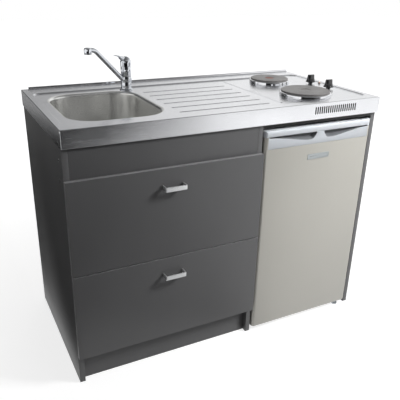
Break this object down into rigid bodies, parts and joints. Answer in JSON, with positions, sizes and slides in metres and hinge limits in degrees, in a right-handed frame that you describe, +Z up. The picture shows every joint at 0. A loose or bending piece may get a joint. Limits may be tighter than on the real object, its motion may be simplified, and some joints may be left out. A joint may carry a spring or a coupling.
{
  "type": "kitchenette unit with sink and hob",
  "caption": "Compact kitchenette: pressed steel worktop with sink, drainer, mixer tap and sealed hotplates over deep pull-outs and an under-counter refrigerator.",
  "frame": {"origin": "centre of the footprint, handles included, on the floor", "axes": "+X to the right as a user faces the unit, +Y towards the wall, +Z up"},
  "size_m": [1.2, 0.6356, 1.0746],
  "materials": {
    "grey_board": "anthracite melamine faced board",
    "raw_board": "hardboard",
    "brushed_sheet": "fine brushed stainless sheet",
    "polished_sheet": "polished stainless",
    "chrome_plate": "chrome plated brass",
    "zinc_steel": "zinc plated sheet",
    "satin_metal": "satin metal",
    "cast_iron": "sealed cast iron",
    "black_plastic": "semi gloss black plastic",
    "white_plastic": "white plastic",
    "white_coat": "white powder coat",
    "white_board": "white melamine faced board",
    "grey_plastic": "grey plastic",
    "insulated_white": "insulated white shell",
    "insulated_grey": "insulated warm grey door",
    "grey_trim": "pale grey trim",
    "seal": "soft seal",
    "clear_glass": "safety glass",
    "clear_plastic": "clear plastic",
    "amber_lens": "tinted lens",
    "black_steel": "black enamel"
  },
  "bodies": {
    "kitchenette": {"side_panel_left": "grey_board", "side_panel_right": "grey_board", "partition_panel": "grey_board", "cabinet_floor": "grey_board", "plinth_board": "grey_board", "fascia_panel": "grey_board", "rear_rail": "grey_board", "niche_rail": "grey_board", "cabinet_back": "raw_board", "worktop_sheet": "brushed_sheet", "sink_bowl": "brushed_sheet", "waste_flange": "polished_sheet", "waste_body": "white_plastic", "bottle_trap": "white_plastic", "overflow_pipe": "grey_plastic", "tap_body": "chrome_plate", "tap_nut": "zinc_steel", "hotplate_front": "cast_iron", "hotplate_rear": "cast_iron", "spill_ring_front": "polished_sheet", "spill_ring_rear": "polished_sheet", "hob_tray": "zinc_steel", "hob_switch_front": "grey_plastic", "hob_switch_rear": "grey_plastic", "indicator_lamp": "amber_lens", "upper_runner_left": "white_coat", "upper_runner_right": "white_coat", "lower_runner_left": "white_coat", "lower_runner_right": "white_coat", "fridge_cabinet": "insulated_white", "hinge_lower": "zinc_steel", "hinge_upper": "zinc_steel", "fridge_shelf": "clear_glass", "crisper_drawer": "clear_plastic", "compressor": "black_steel", "condenser": "black_steel"},
    "upper_drawer": {"upper_drawer_front": "grey_board", "upper_drawer_handle": "satin_metal", "upper_drawer_side_left": "white_coat", "upper_drawer_side_right": "white_coat", "upper_drawer_bottom": "white_board", "upper_drawer_back": "white_board"},
    "lower_drawer": {"lower_drawer_front": "grey_board", "lower_drawer_handle": "satin_metal", "lower_drawer_side_left": "white_coat", "lower_drawer_side_right": "white_coat", "lower_drawer_bottom": "white_board", "lower_drawer_back": "white_board"},
    "fridge_door": {"fridge_door": "insulated_grey", "door_grip_cap": "grey_trim", "door_gasket": "seal"},
    "freezer_flap": {"freezer_flap": "white_plastic"},
    "thermostat": {"thermostat_knob": "white_plastic"},
    "spout": {"tap_spout": "chrome_plate", "tap_aerator": "chrome_plate"},
    "lever_spindle": {"tap_spindle": "white_plastic"},
    "lever": {"tap_lever": "chrome_plate"},
    "front_knob": {"hob_knob_front": "black_plastic"},
    "rear_knob": {"hob_knob_rear": "black_plastic"},
    "plug": {"sink_plug": "polished_sheet"}
  },
  "joints": [
    {"name": "drawer_upper_slide", "type": "slide", "parent": "kitchenette", "child": "upper_drawer", "axis": [0, -1, 0], "range_m": [0, 0.4]},
    {"name": "drawer_lower_slide", "type": "slide", "parent": "kitchenette", "child": "lower_drawer", "axis": [0, -1, 0], "range_m": [0, 0.4]},
    {"name": "fridge_door_hinge", "type": "hinge", "parent": "kitchenette", "child": "fridge_door", "pos_m": [0.5585, -0.26325, 0.414], "axis": [0, 0, 1], "range_deg": [0, 95]},
    {"name": "freezer_flap_hinge", "type": "hinge", "parent": "kitchenette", "child": "freezer_flap", "pos_m": [0.336, -0.08755, 0.785], "axis": [-1, 0, 0], "range_deg": [0, 85]},
    {"name": "thermostat_turn", "type": "hinge", "parent": "kitchenette", "child": "thermostat", "pos_m": [0.5145, -0.13225, 0.6], "axis": [-1, 0, 0], "range_deg": [0, 270]},
    {"name": "spout_swivel", "type": "hinge", "parent": "kitchenette", "child": "spout", "pos_m": [-0.23, 0.19775, 0.95], "axis": [0, 0, 1], "range_deg": [-20, 140]},
    {"name": "lever_turn", "type": "hinge", "parent": "kitchenette", "child": "lever_spindle", "pos_m": [-0.23, 0.19775, 1], "axis": [0, 0, 1], "range_deg": [-45, 45]},
    {"name": "lever_lift", "type": "hinge", "parent": "lever_spindle", "child": "lever", "pos_m": [-0.23, 0.19775, 1.006], "axis": [-0.342, 0.9397, 0], "range_deg": [0, 20]},
    {"name": "hob_knob_front_turn", "type": "hinge", "parent": "kitchenette", "child": "front_knob", "pos_m": [0.525, -0.07525, 0.92], "axis": [0, 0, 1], "range_deg": [0, 300]},
    {"name": "hob_knob_rear_turn", "type": "hinge", "parent": "kitchenette", "child": "rear_knob", "pos_m": [0.525, 0.03975, 0.92], "axis": [0, 0, 1], "range_deg": [0, 300]},
    {"name": "plug_lift", "type": "slide", "parent": "kitchenette", "child": "plug", "axis": [0, 0, 1], "range_m": [0, 0.03]}
  ]
}
